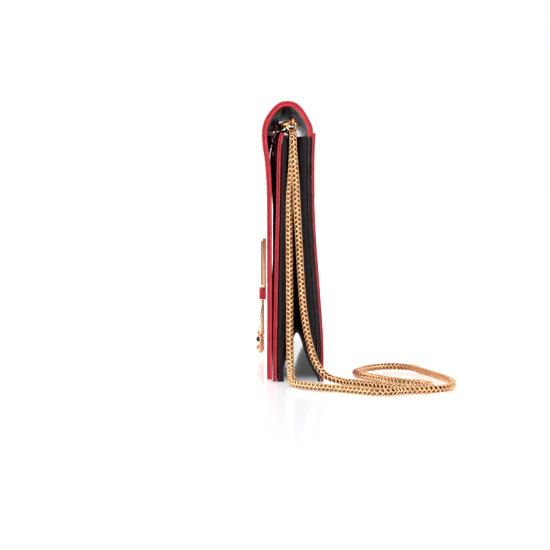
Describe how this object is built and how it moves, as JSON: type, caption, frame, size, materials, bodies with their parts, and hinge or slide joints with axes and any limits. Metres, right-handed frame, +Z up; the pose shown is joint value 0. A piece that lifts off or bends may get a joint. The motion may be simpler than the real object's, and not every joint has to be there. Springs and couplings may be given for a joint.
{
  "type": "clutch purse",
  "caption": "Standing leather envelope clutch with front flap, pleated ends, folded base, chain strap on two hooks and a hinged ornament on the flap.",
  "frame": {"origin": "on the floor under the middle of the bag's shell, chain left out", "axes": "+X along the bag towards its near end, -Y out of the flap's front, +Z up"},
  "size_m": [0.3087, 0.1128, 0.1599],
  "materials": {
    "red_leather": "fine grain, semi-gloss, painted red edges",
    "black_leather": "fine grain, semi-gloss",
    "grey_suede": "napped suede lining",
    "board": "bag board",
    "gold_metal": "polished light gold plating",
    "steel": "plain",
    "enamel": "dark blue-grey enamel, glossy"
  },
  "bodies": {
    "root": {"base_fold": "black_leather", "front_panel": "red_leather", "front_lining": "black_leather", "front_magnet": "steel", "back_panel": "red_leather", "flap_root": "red_leather", "back_stiffener": "board", "back_lining": "grey_suede", "divider": "black_leather", "gusset_near": "black_leather", "gusset_far": "black_leather", "ring_tab_near": "red_leather", "ring_rivet_near": "gold_metal", "ring_tab_far": "red_leather", "ring_rivet_far": "gold_metal", "hook_body_near": "gold_metal", "hook_body_far": "gold_metal", "jump_ring_near": "gold_metal", "jump_ring_far": "gold_metal", "chain": "gold_metal"},
    "flap": {"flap_outer": "red_leather", "flap_lining": "black_leather", "flap_magnet": "steel", "ornament_plate": "gold_metal", "ornament_inlay": "enamel", "keeper": "red_leather", "ornament_pin": "gold_metal", "plate_screw_upper": "steel", "plate_screw_lower": "steel"},
    "drop": {"drop_bar": "gold_metal", "drop_inlay": "enamel", "end_block": "gold_metal", "end_stone": "enamel", "end_roller": "gold_metal", "end_knob": "gold_metal"},
    "ring_near": {"d_ring_near": "gold_metal"},
    "ring_far": {"d_ring_far": "gold_metal"},
    "gate_near": {"hook_gate_near": "gold_metal"},
    "gate_far": {"hook_gate_far": "gold_metal"},
    "swivel_near": {"hook_swivel_near": "gold_metal"},
    "swivel_far": {"hook_swivel_far": "gold_metal"}
  },
  "joints": [
    {"name": "flap_hinge", "type": "hinge", "parent": "root", "child": "flap", "pos_m": [0, 0.0149, 0.1422], "axis": [-1, 0, 0], "range_deg": [0, 180]},
    {"name": "drop_swing", "type": "hinge", "parent": "flap", "child": "drop", "pos_m": [0, -0.0155, 0.0362], "axis": [-1, 0, 0], "range_deg": [0, 70]},
    {"name": "ring_near_tilt", "type": "hinge", "parent": "root", "child": "ring_near", "pos_m": [0.09719, -0.0088, 0.1386], "axis": [-1, 0, 0], "range_deg": [-8, 0]},
    {"name": "ring_far_tilt", "type": "hinge", "parent": "root", "child": "ring_far", "pos_m": [-0.09881, -0.0088, 0.1386], "axis": [-1, 0, 0], "range_deg": [-8, 0]},
    {"name": "gate_near_open", "type": "hinge", "parent": "root", "child": "gate_near", "pos_m": [0.10699, -0.00871, 0.14533], "axis": [0.1543, 0.0789, -0.9849], "range_deg": [0, 12], "stiffness_Nm_per_rad": 0.001},
    {"name": "gate_far_open", "type": "hinge", "parent": "root", "child": "gate_far", "pos_m": [-0.08901, -0.00871, 0.14533], "axis": [0.1543, 0.0789, -0.9849], "range_deg": [0, 12], "stiffness_Nm_per_rad": 0.001},
    {"name": "swivel_near_turn", "type": "hinge", "parent": "root", "child": "swivel_near", "pos_m": [0.11307, -0.00301, 0.14673], "axis": [0.8768, 0.4486, 0.1733], "range_deg": [-10, 10]},
    {"name": "swivel_far_turn", "type": "hinge", "parent": "root", "child": "swivel_far", "pos_m": [-0.08293, -0.00301, 0.14673], "axis": [0.8768, 0.4486, 0.1733], "range_deg": [-10, 10]}
  ]
}
